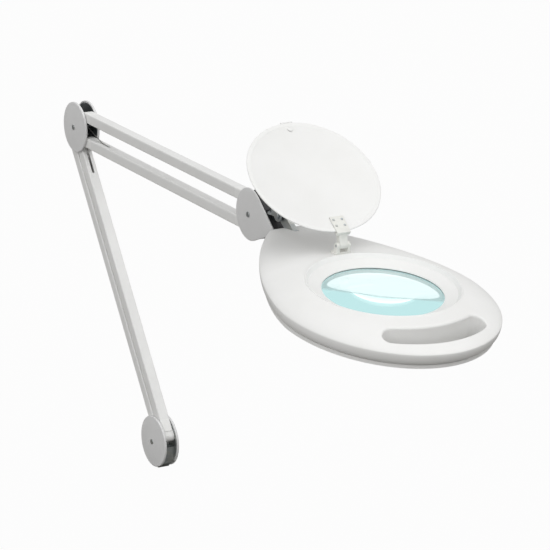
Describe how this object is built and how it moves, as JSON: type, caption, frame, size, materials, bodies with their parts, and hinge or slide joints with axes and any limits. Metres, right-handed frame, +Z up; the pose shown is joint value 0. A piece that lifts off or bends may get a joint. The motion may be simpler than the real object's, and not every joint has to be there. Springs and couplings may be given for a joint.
{
  "type": "magnifying lamp",
  "caption": "Round magnifying lens with a ring lamp in an oval white head with a hinged lid, on a two-stage parallel arm with spring balance and round joint covers.",
  "frame": {"origin": "centre of the mouth of the pin socket in the base bracket", "axes": "+Z up out of the socket's blind end, +X from the base towards the lamp head, the arm folds in the XZ plane"},
  "size_m": [0.8625, 0.23, 0.4737],
  "materials": {
    "white_paint": "satin",
    "white_cover": "satin",
    "white_plastic": "satin",
    "hinge_plastic": "matte",
    "zinc_steel": "satin",
    "black_steel": "matte",
    "black_plastic": "matte",
    "spring_steel": "satin",
    "lens_glass": "polished",
    "lamp_glass": "satin",
    "diffuser_plastic": "satin",
    "seal_rubber": "matte"
  },
  "bodies": {
    "base": {"base_bracket": "zinc_steel", "base_cover_near": "white_cover", "base_cover_far": "white_cover", "base_cover_screws": "zinc_steel", "base_pivot_pins": "zinc_steel"},
    "lower_front_arm": {"lower_front_tube": "white_paint", "lower_front_ends": "white_plastic", "lower_spring": "spring_steel"},
    "lower_rear_arm": {"lower_rear_tube": "white_paint", "lower_rear_ends": "white_plastic"},
    "elbow": {"elbow_bracket": "black_steel", "elbow_cover_near": "white_cover", "elbow_cover_far": "white_cover", "elbow_cover_screws": "zinc_steel", "elbow_pivot_pins": "zinc_steel", "elbow_spring_pins": "zinc_steel"},
    "upper_bottom_arm": {"upper_bottom_tube": "white_paint", "upper_bottom_ends": "white_plastic", "upper_spring": "spring_steel"},
    "upper_top_arm": {"upper_top_tube": "white_paint", "upper_top_ends": "white_plastic"},
    "head_joint": {"head_bracket": "black_steel", "head_cover_near": "white_cover", "head_cover_far": "white_cover", "head_cover_screws": "zinc_steel", "head_pivot_pins": "zinc_steel", "swivel_block": "black_plastic"},
    "yoke": {"swivel_yoke": "zinc_steel", "swivel_bolt": "black_steel", "swivel_nut": "black_steel", "tilt_bolt": "zinc_steel", "tilt_knob": "black_plastic"},
    "head": {"tilt_washers": "black_plastic", "neck_tongue": "zinc_steel", "top_shell": "white_plastic", "bottom_shell": "white_plastic", "shell_screws": "zinc_steel", "lens": "lens_glass", "lens_seal": "seal_rubber", "lens_retainer": "white_paint", "reflector": "white_paint", "ring_lamp": "lamp_glass", "lamp_plug": "white_plastic", "lamp_holder": "white_plastic", "lamp_clips": "zinc_steel", "diffuser": "diffuser_plastic", "ballast": "black_plastic", "switch_frame": "black_plastic", "lid_hinge_base": "hinge_plastic", "lid_hinge_pin": "zinc_steel"},
    "rocker": {"switch_rocker": "black_plastic"},
    "lid": {"lid": "white_plastic", "lid_hinge_arm": "hinge_plastic", "lid_rivets": "zinc_steel", "lid_catch": "white_plastic"}
  },
  "joints": [
    {"name": "lower_arm_swing", "type": "hinge", "parent": "base", "child": "lower_front_arm", "pos_m": [0.01935, 0, 0.0409], "axis": [0, 1, 0], "range_deg": [-9, 32]},
    {"name": "lower_rear_link", "type": "hinge", "parent": "base", "child": "lower_rear_arm", "pos_m": [0.00657, 0, 0.03212], "axis": [0, 1, 0], "range_deg": [-9.5, 32.5]},
    {"name": "elbow_link", "type": "hinge", "parent": "lower_front_arm", "child": "elbow", "pos_m": [-0.20835, 0, 0.3722], "axis": [0, 1, 0], "range_deg": [-32.5, 9.5], "deforming": ["lower_spring"]},
    {"name": "upper_arm_swing", "type": "hinge", "parent": "elbow", "child": "upper_bottom_arm", "pos_m": [-0.18263, 0, 0.36321], "axis": [0, 1, 0], "range_deg": [-50, 34], "deforming": ["upper_spring"]},
    {"name": "upper_top_link", "type": "hinge", "parent": "elbow", "child": "upper_top_arm", "pos_m": [-0.18263, 0, 0.39421], "axis": [0, 1, 0], "range_deg": [-50.5, 34.5]},
    {"name": "head_link", "type": "hinge", "parent": "upper_bottom_arm", "child": "head_joint", "pos_m": [0.21895, 0, 0.34498], "axis": [0, 1, 0], "range_deg": [-34.5, 50.5]},
    {"name": "head_swivel", "type": "hinge", "parent": "head_joint", "child": "yoke", "pos_m": [0.27695, 0, 0.36048], "axis": [0, 0, 1], "range_deg": [-70, 70]},
    {"name": "head_tilt", "type": "hinge", "parent": "yoke", "child": "head", "pos_m": [0.29395, 0, 0.37148], "axis": [0, 1, 0], "range_deg": [-50, 20]},
    {"name": "switch_rock", "type": "hinge", "parent": "head", "child": "rocker", "pos_m": [0.3667, 0, 0.3291], "axis": [0, 1, 0], "range_deg": [-6, 6]},
    {"name": "lid_hinge", "type": "hinge", "parent": "head", "child": "lid", "pos_m": [0.41746, 0, 0.36436], "axis": [0, 1, 0], "range_deg": [-8, 150.6]}
  ],
  "couplings": [
    {"joint": "lower_rear_link", "follows": "lower_arm_swing", "ratio": 1},
    {"joint": "elbow_link", "follows": "lower_arm_swing", "ratio": -1},
    {"joint": "upper_top_link", "follows": "upper_arm_swing", "ratio": 1},
    {"joint": "head_link", "follows": "upper_arm_swing", "ratio": -1}
  ]
}
